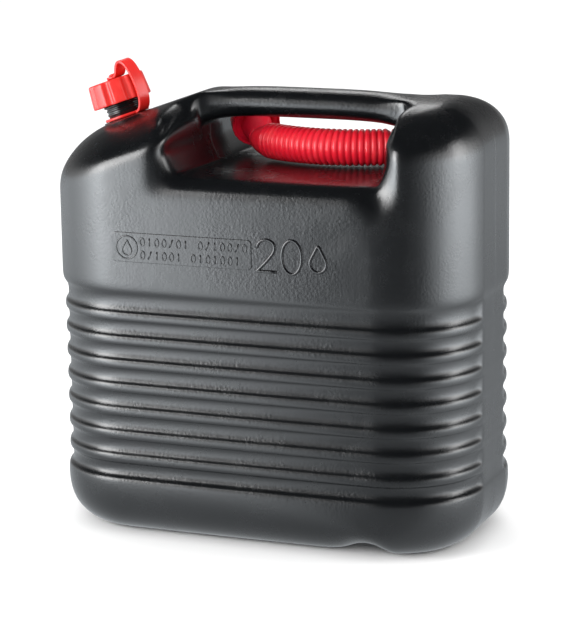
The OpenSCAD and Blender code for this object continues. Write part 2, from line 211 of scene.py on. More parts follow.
def makeRoom(look):
    world = bpy.data.worlds.new("softRoom")
    world.use_nodes = True
    tree = world.node_tree
    room = tree.nodes["Background"]
    room.inputs["Color"].default_value = (1, 1, 1, 1)
    path = tree.nodes.new("ShaderNodeLightPath")
    coords = tree.nodes.new("ShaderNodeTexCoord")
    rays = addNode(tree, "ShaderNodeGroup", node_tree=raysGroup)
    split = tree.nodes.new("ShaderNodeSeparateXYZ")
    fade = addNode(tree, "ShaderNodeMapRange", {"From Min": 0.0, "From Max": look["fadeBy"],
                                                "To Min": look["horizon"], "To Max": 0.0},
                   interpolation_type="SMOOTHSTEP")
    glow = addNode(tree, "ShaderNodeMath", {2: look["inGloss"]}, operation="MULTIPLY_ADD")
    dim = addNode(tree, "ShaderNodeMapRange", {"To Min": look["strength"]})
    link = tree.links.new
    link(coords.outputs["Generated"], rays.inputs["Vector"])
    link(coords.outputs["Generated"], split.inputs["Vector"])
    link(split.outputs["Z"], fade.inputs["Value"])
    link(rays.outputs["Share"], glow.inputs[0])
    link(fade.outputs["Result"], glow.inputs[1])
    link(glow.outputs[0], dim.inputs["To Max"])
    link(path.outputs["Is Glossy Ray"], dim.inputs["Value"])
    link(dim.outputs["Result"], room.inputs["Strength"])
    scene.world = world


print("camera and stage")
makeCamera(cameraView)
makeLamps()
makeFloor(floorLook)
makeRoom(roomLight)

# materials


def makeOrangePeel():
    # pebbled moulded skin: a fine peel over slow waves
    group, ins, outs = makeGroup("orangePeel", [
        ("Vector", "INPUT", "NodeSocketVector", None), ("Fineness", "INPUT", "NodeSocketFloat", 420.0),
        ("Waves", "INPUT", "NodeSocketFloat", 0.4), ("Height", "OUTPUT", "NodeSocketFloat", None)])
    fine = addNode(group, "ShaderNodeTexNoise", {"Detail": 2.0, "Roughness": 0.5})
    slow = addNode(group, "ShaderNodeTexNoise", {"Scale": 28.0, "Detail": 1.5})
    mix = addNode(group, "ShaderNodeMath", operation="MULTIPLY_ADD")
    link = group.links.new
    link(ins.outputs["Vector"], fine.inputs["Vector"])
    link(ins.outputs["Fineness"], fine.inputs["Scale"])
    link(ins.outputs["Vector"], slow.inputs["Vector"])
    link(slow.outputs["Fac"], mix.inputs[0])
    link(ins.outputs["Waves"], mix.inputs[1])
    link(fine.outputs["Fac"], mix.inputs[2])
    link(mix.outputs[0], outs.inputs["Height"])
    return group


def makeScuffs():
    # sparse soft scuffs that dull the gloss and lighten the colour a little
    group, ins, outs = makeGroup("scuffs", [
        ("Vector", "INPUT", "NodeSocketVector", None), ("Scale", "INPUT", "NodeSocketFloat", 30.0),
        ("Amount", "INPUT", "NodeSocketFloat", 0.3), ("Mask", "OUTPUT", "NodeSocketFloat", None)])
    blot = addNode(group, "ShaderNodeTexNoise", {"Detail": 6.0, "Roughness": 0.65})
    ramp = addNode(group, "ShaderNodeMapRange", {"From Min": 0.5, "From Max": 0.78})
    scale = addNode(group, "ShaderNodeMath", operation="MULTIPLY")
    link = group.links.new
    link(ins.outputs["Vector"], blot.inputs["Vector"])
    link(ins.outputs["Scale"], blot.inputs["Scale"])
    link(blot.outputs["Fac"], ramp.inputs["Value"])
    link(ramp.outputs["Result"], scale.inputs[0])
    link(ins.outputs["Amount"], scale.inputs[1])
    link(scale.outputs[0], outs.inputs["Mask"])
    return group


peelGroup = makeOrangePeel()
scuffGroup = makeScuffs()


def useGroup(tree, group, coords, values):
    node = addNode(tree, "ShaderNodeGroup", node_tree=group)
    for k, v in values.items():
        node.inputs[k].default_value = v
    tree.links.new(coords, node.inputs["Vector"])
    return node


wornRoughness = 0.22


def mouldedPlastic(name, look, extraHeight=None):
    mat = bpy.data.materials.new(name)
    mat.use_nodes = True
    tree = mat.node_tree
    link = tree.links.new
    shader = tree.nodes["Principled BSDF"]
    shader.inputs["IOR"].default_value = look.get("ior", 1.5)
    shader.inputs["Coat Weight"].default_value = look.get("coat", 0.0)
    shader.inputs["Coat Roughness"].default_value = look.get("coatRoughness", 0.2)
    shader.inputs["Subsurface Weight"].default_value = look.get("glow", 0.0)
    shader.inputs["Subsurface Radius"].default_value = (0.004, 0.0006, 0.0004)
    shader.inputs["Subsurface Scale"].default_value = 1.0
    coords = tree.nodes.new("ShaderNodeTexCoord").outputs["Object"]
    scuff = useGroup(tree, scuffGroup, coords, {"Scale": look["scuffScale"], "Amount": look["scuffs"]})
    colour = addNode(tree, "ShaderNodeMix", data_type="RGBA")
    colour.inputs["A"].default_value = (*look["colour"], 1)
    colour.inputs["B"].default_value = (*look["worn"], 1)
    link(scuff.outputs["Mask"], colour.inputs["Factor"])
    link(colour.outputs["Result"], shader.inputs["Base Color"])
    rough = addNode(tree, "ShaderNodeMapRange", {"To Min": look["roughness"],
                                                 "To Max": look["roughness"] + wornRoughness})
    link(scuff.outputs["Mask"], rough.inputs["Value"])
    link(rough.outputs["Result"], shader.inputs["Roughness"])
    peel = useGroup(tree, peelGroup, coords, {"Fineness": look["fineness"], "Waves": look["waves"]})
    height = peel.outputs["Height"]
    if extraHeight:
        height = extraHeight(tree, coords, height)
    bump = addNode(tree, "ShaderNodeBump", {"Strength": look["bump"], "Distance": look["bumpDepth"]})
    link(height, bump.inputs["Height"])
    link(bump.outputs["Normal"], shader.inputs["Normal"])
    return mat


tankSkin = {"lineScale": (260.0, 260.0, 3.0), "lineShare": 0.07, "patchScale": 14.0, "patchLow": 0.45,
            "patchHigh": 1.2, "seamFlat": 0.00025, "seamEdge": 0.0008, "seamHigh": 2.2}


def tankHeight(tree, coords, peel):
    # upright die lines from the parison, patches of rougher skin, and the mould seam at y 0
    link = tree.links.new
    stretch = addNode(tree, "ShaderNodeMapping", {"Scale": tankSkin["lineScale"]})
    lines = addNode(tree, "ShaderNodeTexNoise", {"Scale": 1.0, "Detail": 3.0, "Roughness": 0.7})
    lineRamp = addNode(tree, "ShaderNodeMapRange", {"From Min": 0.42, "From Max": 0.72})
    patches = addNode(tree, "ShaderNodeTexNoise", {"Scale": tankSkin["patchScale"], "Detail": 2.0})
    patchRamp = addNode(tree, "ShaderNodeMapRange", {"From Min": 0.42, "From Max": 0.62,
                                                     "To Min": tankSkin["patchLow"],
                                                     "To Max": tankSkin["patchHigh"]})
    peelPart = addNode(tree, "ShaderNodeMath", operation="MULTIPLY")
    lineSum = addNode(tree, "ShaderNodeMath", {1: tankSkin["lineShare"]}, operation="MULTIPLY_ADD")
    split = tree.nodes.new("ShaderNodeSeparateXYZ")
    away = addNode(tree, "ShaderNodeMath", operation="ABSOLUTE")
    seam = addNode(tree, "ShaderNodeMapRange", {"From Min": tankSkin["seamFlat"],
                                                "From Max": tankSkin["seamEdge"],
                                                "To Min": tankSkin["seamHigh"], "To Max": 0.0})
    total = addNode(tree, "ShaderNodeMath", operation="ADD")
    link(coords, stretch.inputs["Vector"])
    link(stretch.outputs["Vector"], lines.inputs["Vector"])
    link(lines.outputs["Fac"], lineRamp.inputs["Value"])
    link(coords, patches.inputs["Vector"])
    link(patches.outputs["Fac"], patchRamp.inputs["Value"])
    link(peel, peelPart.inputs[0])
    link(patchRamp.outputs["Result"], peelPart.inputs[1])
    link(lineRamp.outputs["Result"], lineSum.inputs[0])
    link(peelPart.outputs[0], lineSum.inputs[2])
    link(coords, split.inputs["Vector"])
    link(split.outputs["Y"], away.inputs[0])
    link(away.outputs[0], seam.inputs["Value"])
    link(lineSum.outputs[0], total.inputs[0])
    link(seam.outputs["Result"], total.inputs[1])
    return total.outputs[0]


plasticLooks = {
    "tankBlack": {"colour": (0.0022, 0.0027, 0.0033), "worn": (0.006, 0.0065, 0.0072), "roughness": 0.25,
                  "scuffs": 0.4, "scuffScale": 34.0, "fineness": 470.0, "waves": 0.3, "bump": 0.26,
                  "bumpDepth": 0.0006, "ior": 1.53},
    "neckBlack": {"colour": (0.004, 0.0045, 0.005), "worn": (0.01, 0.01, 0.011), "roughness": 0.22,
                  "scuffs": 0.2, "scuffScale": 60.0, "fineness": 700.0, "waves": 0.8, "bump": 0.15,
                  "bumpDepth": 0.0004, "ior": 1.53},
    "capRed": {"colour": (0.58, 0.012, 0.008), "worn": (0.72, 0.07, 0.05), "roughness": 0.36,
               "scuffs": 0.35, "scuffScale": 70.0, "fineness": 900.0, "waves": 0.8, "bump": 0.25,
               "bumpDepth": 0.0003, "glow": 0.12},
    "tetherRed": {"colour": (0.58, 0.012, 0.009), "worn": (0.7, 0.06, 0.04), "roughness": 0.33,
                  "scuffs": 0.3, "scuffScale": 80.0, "fineness": 800.0, "waves": 0.8, "bump": 0.2,
                  "bumpDepth": 0.0003, "glow": 0.15},
    "spoutRed": {"colour": (0.66, 0.008, 0.028), "worn": (0.8, 0.05, 0.06), "roughness": 0.24,
                 "scuffs": 0.3, "scuffScale": 60.0, "fineness": 800.0, "waves": 0.8, "bump": 0.15,
                 "bumpDepth": 0.0003, "glow": 0.1},
    "hoseRed": {"colour": (0.66, 0.01, 0.026), "worn": (0.85, 0.08, 0.08), "roughness": 0.34,
                "scuffs": 0.35, "scuffScale": 70.0, "fineness": 900.0, "waves": 0.6, "bump": 0.2,
                "bumpDepth": 0.0003, "glow": 0.18},
    "washerRubber": {"colour": (0.02, 0.02, 0.02), "worn": (0.05, 0.05, 0.05), "roughness": 0.62,
                     "scuffs": 0.5, "scuffScale": 90.0, "fineness": 1500.0, "waves": 0.3, "bump": 0.3,
                     "bumpDepth": 0.0003},
}

print("materials")
mats = {name: mouldedPlastic(name, look, tankHeight if name == "tankBlack" else None)
        for name, look in plasticLooks.items()}

# shared mesh helpers, all in millimetres until finishPiece


def finishPiece(name, bm, material, body, replaced=(), levels=0, ride=True):
    bmesh.ops.remove_doubles(bm, verts=bm.verts, dist=0.0005)
    bmesh.ops.recalc_face_normals(bm, faces=bm.faces)
    bmesh.ops.scale(bm, vec=(mm, mm, mm), verts=bm.verts)
    for f in bm.faces:
        f.smooth = True
    mesh = bpy.data.meshes.new(name)
    bm.to_mesh(mesh)
    bm.free()
    piece = bpy.data.objects.new(name, mesh)
    scene.collection.objects.link(piece)
    mesh.materials.append(mats[material])
    if levels:
        sub = piece.modifiers.new("smooth", "SUBSURF")
        sub.levels = sub.render_levels = levels
    if ride:
        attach(piece, body)
    if replaced:
        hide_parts(*replaced)
    return piece


def openEdges(bm):
    return [e for e in bm.edges if len(e.link_faces) == 1]


def turned(profile, steps, place, bm=None):
    # spins a closed outline of (radius, height) round Z
    own = bmesh.new()
    verts = [own.verts.new((r, 0, s)) for r, s in profile]
    edges = [own.edges.new((verts[i], verts[(i + 1) % len(verts)])) for i in range(len(verts))
             if not (profile[i][0] == 0 and profile[(i + 1) % len(verts)][0] == 0)]
    bmesh.ops.spin(own, geom=verts + edges, cent=(0, 0, 0), axis=(0, 0, 1), dvec=(0, 0, 0),
                   angle=2 * math.pi, steps=steps, use_merge=True)
    bmesh.ops.remove_doubles(own, verts=own.verts, dist=0.0005)
    bmesh.ops.recalc_face_normals(own, faces=own.faces)
    bmesh.ops.transform(own, matrix=place, verts=own.verts)
    return joined(own, bm)


def joined(own, bm):
    if bm is None:
        return own
    mesh = bpy.data.meshes.new("part")
    own.to_mesh(mesh)
    own.free()
    bm.from_mesh(mesh)
    bpy.data.meshes.remove(mesh)
    return bm


def lobed(rows, segments, radiusAt, place):
    # rings of points from the first row to the last, which meets the first again
    bm = bmesh.new()
    bmesh.ops.create_circle(bm, cap_ends=False, segments=segments, radius=1)
    ring, edges = list(bm.verts), list(bm.edges)
    angles = {v: math.atan2(v.co.y, v.co.x) for v in ring}

    def put(v, a, row):
        r = radiusAt(a, *row)
        v.co = (r * math.cos(a), r * math.sin(a), row[1])

    for v in ring:
        put(v, angles[v], rows[0])
    for row in rows[1:]:
        grown = bmesh.ops.extrude_edge_only(bm, edges=edges)["geom"]
        ring = [g for g in grown if isinstance(g, bmesh.types.BMVert)]
        edges = [g for g in grown if isinstance(g, bmesh.types.BMEdge)]
        edges = [e for e in edges if all(v in ring for v in e.verts)]
        for v in ring:
            a = math.atan2(v.co.y, v.co.x)
            put(v, a, row)
    bmesh.ops.remove_doubles(bm, verts=bm.verts, dist=0.0005)
    ends = openEdges(bm)
    if ends:
        bmesh.ops.holes_fill(bm, edges=ends, sides=0)
    bmesh.ops.recalc_face_normals(bm, faces=bm.faces)
    bmesh.ops.transform(bm, matrix=place, verts=bm.verts)
    return bm


def smoothStep(t):
    t = min(1.0, max(0.0, t))
    return t * t * (3 - 2 * t)


# tank: one lattice, pushed out of a grid and then rounded

tank = {
    "halfWide": 185.0, "halfDeep": 102.5, "top": 364.0, "cornerR": 73.0, "skin": 1.1,
    "recessLeft": -65.0, "recessRight": 118.0, "recessFloor": 304.5,
    "baseR": 36.0, "baseIn": 1.4, "baseTop": 53.2, "beads": 7, "beadPitch": 20.1, "topBead": 188.5,
    "grooveIn": 5.8, "crestIn": 2.7, "beadHalf": 5.2, "ribZoneTop": 205.6, "padHalf": 29.5,
    "topR": 36.0, "lipR": 14.0, "rightLipR": 32.0, "wallTopR": 26.0, "cornerPull": 5.3,
    "rightLipLength": 18.0, "slopeFrom": 222.0, "slopeFull": 300.0, "slope": 0.35412,
    "barHalf": 21.0, "barLow": 339.0, "barMiddle": 351.5, "barHigh": 12.9, "barRound": 0.44, "arch": 5.0,
    "barDrop": 0.9, "barRoot": 26.0, "barFade": 13.0, "barSteps": 13, "bulge": 3.0,
    "gripMid": 99.0, "gripHalf": 23.0, "gripHigh": 8.5, "gripFade": 24.0,
    "crown": 9.5, "crownFrom": 12.0, "crownPower": 1.7,
    # the lattice's lines: across the width, from the middle to the front, and up the plain wall
    "columns": (-185, -171, -157, -142, -127, -112, -95, -81, -73, -65, -56, -47, -22, 3, 28, 52, 76, 88, 99,
                109, 118, 130, 143, 157, 171, 185),
    "depths": (12, 21, 29.5, 34, 55, 77.5, 90, 102.5),
    "wallRows": (222.0, 250.0, 277.0, 290.5, 297.5, 304.5, 322.0), "shoulderDegrees": (0, 18, 42, 66, 90),
}
touch = 0.01


def tankRows(t):
    # (height, inset) of every ring round the can
    rows = []
    for i in range(5):
        a = math.radians(22.5 * i)
        rows.append((t["baseR"] * (1 - math.cos(a)), t["baseIn"] + t["baseR"] * (1 - math.sin(a))))
    rows += [(47.0, t["baseIn"]), (51.2, t["baseIn"] + 0.5), (t["baseTop"], t["grooveIn"])]
    for i in range(t["beads"] - 1, -1, -1):
        z = t["topBead"] - i * t["beadPitch"]
        h = t["beadHalf"]
        rows += [(z - h, t["grooveIn"]), (z - 0.66 * h, t["crestIn"] + 0.35), (z, t["crestIn"]),
                 (z + 0.66 * h, t["crestIn"] + 0.35), (z + h, t["grooveIn"])]
    z = t["ribZoneTop"]
    rows += [(z, t["grooveIn"]), (z + 3.4, t["skin"] + 0.9), (z + 8.4, t["skin"])]
    rows += [(z, t["skin"]) for z in t["wallRows"]]
    for deg in t["shoulderDegrees"]:
        a = math.radians(deg)
        rows.append((t["top"] - t["topR"] * (1 - math.sin(a)), t["skin"] + t["topR"] * (1 - math.cos(a))))
    return rows


def lipShape(p, t):
    # rounds the rim where the recess meets the front and back, and the tops of its end walls
    x, q, z = p
    x0, x1, floor, deep, top = t["recessLeft"], t["recessRight"], t["recessFloor"], t["halfDeep"], t["top"]
    grow = smoothStep((x - x1) / t["rightLipLength"] + 1)
    r = t["lipR"] + (t["rightLipR"] - t["lipR"]) * grow
    onFront = q > deep - touch
    onLeft, onRight = abs(x - x0) < touch and z >= floor, abs(x - x1) < touch and z >= floor
    onFloor = abs(z - floor) < touch and x0 <= x <= x1
    out = Vector((0, 0, 0))
    dx = x0 - x if x < x0 else (x - x1 if x > x1 else 0)
    dz = floor - z if z < floor else 0
    way = Vector((-1 if x <= x0 else (1 if x >= x1 else 0), 0, -1 if z <= floor else 0))
    d = math.hypot(dx, dz)
    if d > touch:
        way = Vector((math.copysign(dx, way.x) if dx else 0, 0, -dz))
    if way.length:
        way.normalize()
    if onFront and d < r and (dx or dz or onLeft or onRight or onFloor):
        turn = math.radians(45 * (1 - d / r))
        out += way * (r * (1 - math.sin(turn)) - d)
        out.y -= r * (1 - math.cos(turn))
    elif (onLeft or onRight or onFloor) and deep - q < r:
        e = deep - q
        turn = math.radians(45 * (1 - e / r))
        out += way * (r * (1 - math.cos(turn)))
        out.y -= r * (1 - math.sin(turn)) - e
    # the walls' tops are rounded away from the bar only
    share = smoothStep((q - t["barHalf"]) / t["barFade"])
    rt = t["wallTopR"]
    side = -1 if x <= x0 else 1
    near = x0 - x if x <= x0 else x - x1
    if share > 0 and abs(z - top) < touch and 0 <= near < rt and (x <= x0 or x >= x1):
        turn = math.radians(45 * (1 - near / rt))
        out.x += share * side * (rt * (1 - math.sin(turn)) - near)
        out.z -= share * rt * (1 - math.cos(turn))
    elif share > 0 and (onLeft or onRight) and top - z < rt:
        turn = math.radians(45 * (1 - (top - z) / rt))
        out.x += share * side * rt * (1 - math.cos(turn))
        out.z -= share * (rt * (1 - math.sin(turn)) - (top - z))
    if onFloor and (onLeft or onRight):
        out += Vector((t["cornerPull"] * (1 if onLeft else -1), 0, t["cornerPull"]))
    return Vector((x, q, z)) + out


def planShape(x, q, inset, t):
    # pulls a point in by inset, and turns the square corner into a round one
    r = t["cornerR"]
    cx, cy = t["halfWide"] - r, t["halfDeep"] - r
    sx, ax = (1 if x > 0 else -1), abs(x)
    a, b = max(0, ax - cx) * (r - inset) / r, max(0, q - cy) * (r - inset) / r
    if a > 0 and b > 0:
        reach, angle = max(a, b), math.pi / 4 * min(a, b) / max(a, b)
        angle = angle if a > b else math.pi / 2 - angle
        a, b = reach * math.cos(angle), reach * math.sin(angle)
    return sx * (min(ax, cx) + a), min(q, cy) + b


def bulged(x, y):
    # the long faces swell a little towards their middle
    return y * (1 - tank["bulge"] / tank["halfDeep"] * (x / tank["halfWide"]) ** 2)


def shapeTank(bm, t, rows):
    insets = {round(z, 2): k for z, k in rows}
    middle, half = (t["recessLeft"] + t["recessRight"]) / 2, (t["recessRight"] - t["recessLeft"]) / 2
    for v in bm.verts:
        x, y, z = v.co
        sy, q = (1 if y > 0 else -1), abs(y)
        if t["recessLeft"] + touch < x < t["recessRight"] - touch and z > t["barLow"] - 1:
            # a rounded bar that grows out of square roots in the two end walls
            u = (x - middle) / half
            soft = t["barRound"] * smoothStep((1 - abs(u)) * half / t["barRoot"])
            a, b = y / t["barHalf"], (z - t["barMiddle"]) / t["barHigh"]
            v.co.y = y * math.sqrt(1 - soft * min(1, b * b))
            rise = t["arch"] * (1 - u ** 4) - t["barDrop"]
            v.co.z = t["barMiddle"] + t["barHigh"] * b * math.sqrt(1 - soft * a * a) + rise
            continue
        inset = insets[round(z, 2)]
        onPad = q <= t["padHalf"] and abs(x) > t["halfWide"] - 0.1
        if onPad and t["baseTop"] - 1 < z < t["ribZoneTop"] + 1:
            inset = min(inset, t["crestIn"] + 0.1)
        px, pq, pz = lipShape((x, q, z), t)
        px, pq = planShape(px, pq, inset, t)
        if z < t["gripFade"] and abs(x - t["gripMid"]) < t["gripHalf"]:
            pz += t["gripHigh"] * (1 - ((x - t["gripMid"]) / t["gripHalf"]) ** 2) * (1 - z / t["gripFade"])
        if px < t["recessLeft"]:
            share = min(1, max(0, (pz - t["slopeFrom"]) / (t["slopeFull"] - t["slopeFrom"])))
            pz -= (t["recessLeft"] - px) * t["slope"] * share
        high = max(0, (z - t["top"] + t["topR"]) / t["topR"]) ** t["crownPower"]
        out = max(0, pq - t["crownFrom"]) / (t["halfDeep"] - t["topR"] - t["crownFrom"])
        pz -= t["crown"] * high * out ** 2
        v.co = (px, sy * bulged(px, pq), pz)


def makeTank(t):
    rows = tankRows(t)
    xs, ys, zs = t["columns"], (*(-y for y in reversed(t["depths"])), 0, *t["depths"]), [z for z, k in rows]
    bm = bmesh.new()
    bmesh.ops.create_grid(bm, x_segments=len(xs) - 1, y_segments=len(zs) - 1, size=1)
    for v in bm.verts:
        i = round((v.co.x + 1) / 2 * (len(xs) - 1))
        j = round((v.co.y + 1) / 2 * (len(zs) - 1))
        v.co = (xs[i], ys[0], zs[j])

    def inNotch(f):
        c = f.calc_center_median()
        return t["recessLeft"] < c.x < t["recessRight"] and c.z > t["recessFloor"]

    bmesh.ops.delete(bm, geom=[f for f in bm.faces if inNotch(f)], context="FACES")
    faces = list(bm.faces)
    for k, y in enumerate(ys[1:]):
        grown = bmesh.ops.extrude_face_region(bm, geom=faces)["geom"]
        if k:
            bmesh.ops.delete(bm, geom=[f for f in faces if f.is_valid], context="FACES")
        for v in grown:
            if isinstance(v, bmesh.types.BMVert):
                v.co.y = y
        faces = [g for g in grown if isinstance(g, bmesh.types.BMFace)]

    def isBarEnd(f):
        c = f.calc_center_median()
        walls = (t["recessLeft"], t["recessRight"])
        onWall = any(all(abs(v.co.x - wall) < touch for v in f.verts) for wall in walls)
        return onWall and abs(c.y) < t["barHalf"] and c.z > t["barLow"]

    bmesh.ops.delete(bm, geom=[f for f in bm.faces if isBarEnd(f)], context="FACES")
    bridged = bmesh.ops.bridge_loops(bm, edges=openEdges(bm))
    long = [e for e in bridged["edges"] if abs(e.verts[0].co.x - e.verts[1].co.x) > 100]
    bmesh.ops.subdivide_edges(bm, edges=long, cuts=t["barSteps"], use_grid_fill=True)
    shapeTank(bm, t, rows)
    print("  tank lattice:", len(bm.faces), "faces, open edges", len(openEdges(bm)))
    return finishPiece("tankShell", bm, "tankBlack", "root", ["tank_body"], levels=2)


print("tank")
makeTank(tank)

# neck, and everything that turns about its axis

neck = {"foot": (-140.0, 0.0, 337.441), "lean": -19.5, "root": 15.0, "crest": 17.0, "pitch": 4.0,
        "beadsAt": (5.4, 8.7), "threadFrom": 15.0, "threadTurns": 2.6}
neckPlace = Matrix.Translation(neck["foot"]) @ Matrix.Rotation(math.radians(neck["lean"]), 4, "Y")


def makeThread(bm, root, crest, start, turns, pitch, place):
    own = bmesh.new()
    outline = [(root, -1.1), (crest - 0.3, -0.55), (crest, 0), (crest - 0.3, 0.55), (root, 1.1)]
    verts = [own.verts.new((r, 0, start + s)) for r, s in outline]
    face = own.faces.new(verts)
    steps = 40
    bmesh.ops.spin(own, geom=verts + list(own.edges) + [face], cent=(0, 0, 0), axis=(0, 0, 1),
                   dvec=(0, 0, pitch / steps), angle=2 * math.pi * turns, steps=int(steps * turns),
                   use_merge=False)
    bmesh.ops.recalc_face_normals(own, faces=own.faces)
    bmesh.ops.transform(own, matrix=place, verts=own.verts)
    return joined(own, bm)


def makeNeck(n):
    outline = [(0, -6), (21.4, -6), (20.9, -0.6), (20.2, 0.1), (16.2, 0.2), (15.2, 0.7), (15, 1.6)]
    for at in n["beadsAt"]:
        outline += [(15, at - 1.1), (15.5, at - 0.6), (15.9, at), (15.5, at + 0.6), (15, at + 1.1)]
    outline += [(15, 10.6), (16.4, 11.1), (17, 11.8), (17, 12.3), (16.4, 12.9), (15, 13.2), (15, 27.6),
                (14.6, 28.4), (12.8, 28.4), (12.2, 27.8), (12.2, 2.0), (0, 2.0)]
    bm = turned(outline, 72, neckPlace)
    bm = makeThread(bm, n["root"] - 0.4, n["crest"], n["threadFrom"], n["threadTurns"], n["pitch"], neckPlace)
    finishPiece("neckSpout", bm, "neckBlack", "root")


cap = {"rim": 25.3, "draft": 1.3, "bottom": 13.0, "top": 33.3, "grooves": 9, "phase": 13.0,
       "depth": 2.3, "grooveDegrees": 6.6, "bore": 17.4, "stud": 3.0, "studHead": 4.6}


def capRadius(angle, r, s, lobe):
    if lobe == 0:
        return r
    step = 360 / cap["grooves"]
    off = (math.degrees(angle) - cap["phase"]) % step - step / 2
    return r - lobe * cap["depth"] * math.exp(-(off / cap["grooveDegrees"]) ** 4)


def makeCap(c):
    b, top, r = c["bottom"], c["top"], c["rim"]
    slim = r - c["draft"]
    rows = [(c["bore"], top - 2.95, 0), (c["bore"], b + 0.7, 0), (c["bore"] + 0.6, b, 0), (r - 3.6, b, 0.4),
            (r - 0.7, b, 1), (r - 0.05, b + 0.5, 1), (r - 0.1, b + 2, 1), (r - 0.7, (b + top) / 2, 1),
            (slim, top - 2.4, 1), (slim - 0.15, top - 1.2, 1), (slim - 0.7, top - 0.35, 0.95),
            (slim - 1.7, top, 0.8), (slim - 4, top, 0.35), (slim - 8, top + 0.1, 0), (10.6, top + 0.1, 0),
            (10.0, top - 0.25, 0), (8.2, top - 0.25, 0), (c["stud"] + 0.9, top - 0.2, 0),
            (c["stud"], top + 0.2, 0), (c["stud"], top + 2.9, 0), (c["studHead"] - 0.3, top + 3.0, 0),
            (c["studHead"], top + 3.3, 0), (c["studHead"] - 0.5, top + 4.1, 0), (2.6, top + 4.6, 0),
            (0.9, top + 4.6, 0)]
    bm = lobed(rows, 144, capRadius, neckPlace)
    finishPiece("capShell", bm, "capRed", "cap", ["screw_cap"], levels=1)


strap = {"turn": -24.0, "wide": 11.5, "thick": 2.4, "ring": 19.1, "ringHole": 15.12, "ringAt": 0.3,
         "reach": 28.3, "footOut": 9.0, "footUp": 14.0, "archAt": 20.0, "rise": 25.4, "run": 11.0,
         "eyeAt": 33.6, "eyeR": 6.6, "eyeHole": 3.12, "bendsFrom": 4.0, "bendsTo": 35.0}
strapPlace = neckPlace @ Matrix.Rotation(math.radians(strap["turn"]), 4, "Z")


def strapLine(s):
    # middle line (out, up): from the ring, up beside the cap, over and down to the eye
    mid = s["ringAt"] + s["thick"] / 2
    pts = [(s["ring"] - 2.6, mid)]
    for i in range(9):
        a = math.radians(-90 + 90 * i / 8)
        pts.append((s["reach"] - s["footOut"] * (1 - math.cos(a)), mid + s["footUp"] * (1 + math.sin(a))))
    for i in range(19):
        a = math.radians(134 * i / 18)
        pts.append((s["reach"] - s["run"] + s["run"] * math.cos(a), s["archAt"] + s["rise"] * math.sin(a)))
    eye = s["eyeAt"] + s["thick"] / 2
    pts += [(8.0, eye + 1.4), (6.4, eye + 0.25), (4.6, eye)]
    return [Vector(p) for p in pts]


def bandOutline(hole, outer, low, thick):
    # a flat ring with its edges broken
    high = low + thick
    return [(hole, low + 0.3), (hole + 0.3, low), (outer - 0.5, low), (outer, low + 0.5),
            (outer, high - 0.5), (outer - 0.5, high), (hole + 0.3, high), (hole, high - 0.3)]


def makeTether(s):
    ring = bandOutline(s["ringHole"], s["ring"], s["ringAt"], s["thick"])
    bm = turned(ring, 72, neckPlace)
    finishPiece("tetherRing", bm, "tetherRed", "root", ["tether_ring"])
    eye = bandOutline(s["eyeHole"], s["eyeR"], s["eyeAt"], s["thick"])
    bm = turned(eye, 40, neckPlace)
    finishPiece("tetherEye", bm, "tetherRed", "cap_carrier", ["tether_eye"])

    line = strapLine(s)
    n = len(line) - 1
    across = [-1, -0.9, -0.3, 0.3, 0.9, 1]
    bm = bmesh.new()
    bmesh.ops.create_grid(bm, x_segments=n, y_segments=len(across) - 1, size=1)
    for v in bm.verts:
        v.co = (round((v.co.x + 1) / 2 * n), across[round((v.co.y + 1) / 2 * (len(across) - 1))], -1)
    grown = bmesh.ops.extrude_face_region(bm, geom=list(bm.faces))["geom"]
    for v in grown:
        if isinstance(v, bmesh.types.BMVert):
            v.co.z = 1
    for v in bm.verts:
        i, w, side = int(v.co.x), v.co.y, v.co.z
        ahead = line[min(i + 1, n)] - line[max(i - 1, 0)]
        normal = Vector((ahead.y, -ahead.x)).normalized()
        p = line[i] + normal * (side * (s["thick"] / 2 - (0.1 if abs(w) < 0.5 and side > 0 else 0)))
        v.co = (p.x, w * s["wide"] / 2, p.y)
    bmesh.ops.transform(bm, matrix=strapPlace, verts=bm.verts)
    piece = finishPiece("tetherStrap", bm, "tetherRed", "root", ["tether_strap"], levels=2,
                        ride=False)
    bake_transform(piece)


print("neck, cap and tether")
makeNeck(neck)
makeCap(cap)
makeTether(strap)

# pouring spout, stowed under the handle

spout = {"nutFace": (-37.5, 35.0, 329.8), "aim": (0.505, -0.79, -0.347), "cone": 22.0, "waist": 10.0,
         "bowMid": (39.0, -3.0, 320.5), "bowHalf": 53.0, "bowBack": 15.0, "lead": 14.0,
         "hoseR": 15.2, "hoseRoot": 13.7, "ridge": 4.8, "firstRidge": 16.2,
         "nutGrooves": 24, "nutGrooveDepth": 0.7, "nutGrooveDegrees": 2.4}


def aimed(place, way):
    way = Vector(way).normalized()
    return Matrix.Translation(place) @ way.to_track_quat("Z", "Y").to_matrix().to_4x4()


def bow(u):
    m = spout["bowMid"]
    return Vector((m[0] + spout["bowHalf"] * u, m[1] + spout["bowBack"] * u * u, m[2]))


def hosePath():
    # an easy bend from the cone's end into the bow, then the bow
    way = Vector(spout["aim"]).normalized()
    start = Vector(spout["nutFace"]) + way * spout["cone"]
    first = Vector((spout["bowHalf"], -2 * spout["bowBack"], 0)).normalized()
    pts = []
    for i in range(16):
        t = i / 16
        h = (2 * t ** 3 - 3 * t * t + 1, t ** 3 - 2 * t * t + t, 3 * t * t - 2 * t ** 3, t ** 3 - t * t)
        pts.append(h[0] * start + h[1] * way * spout["lead"] + h[2] * bow(-1) + h[3] * first * spout["lead"])
    return pts + [bow(-1 + i / 40) for i in range(81)]


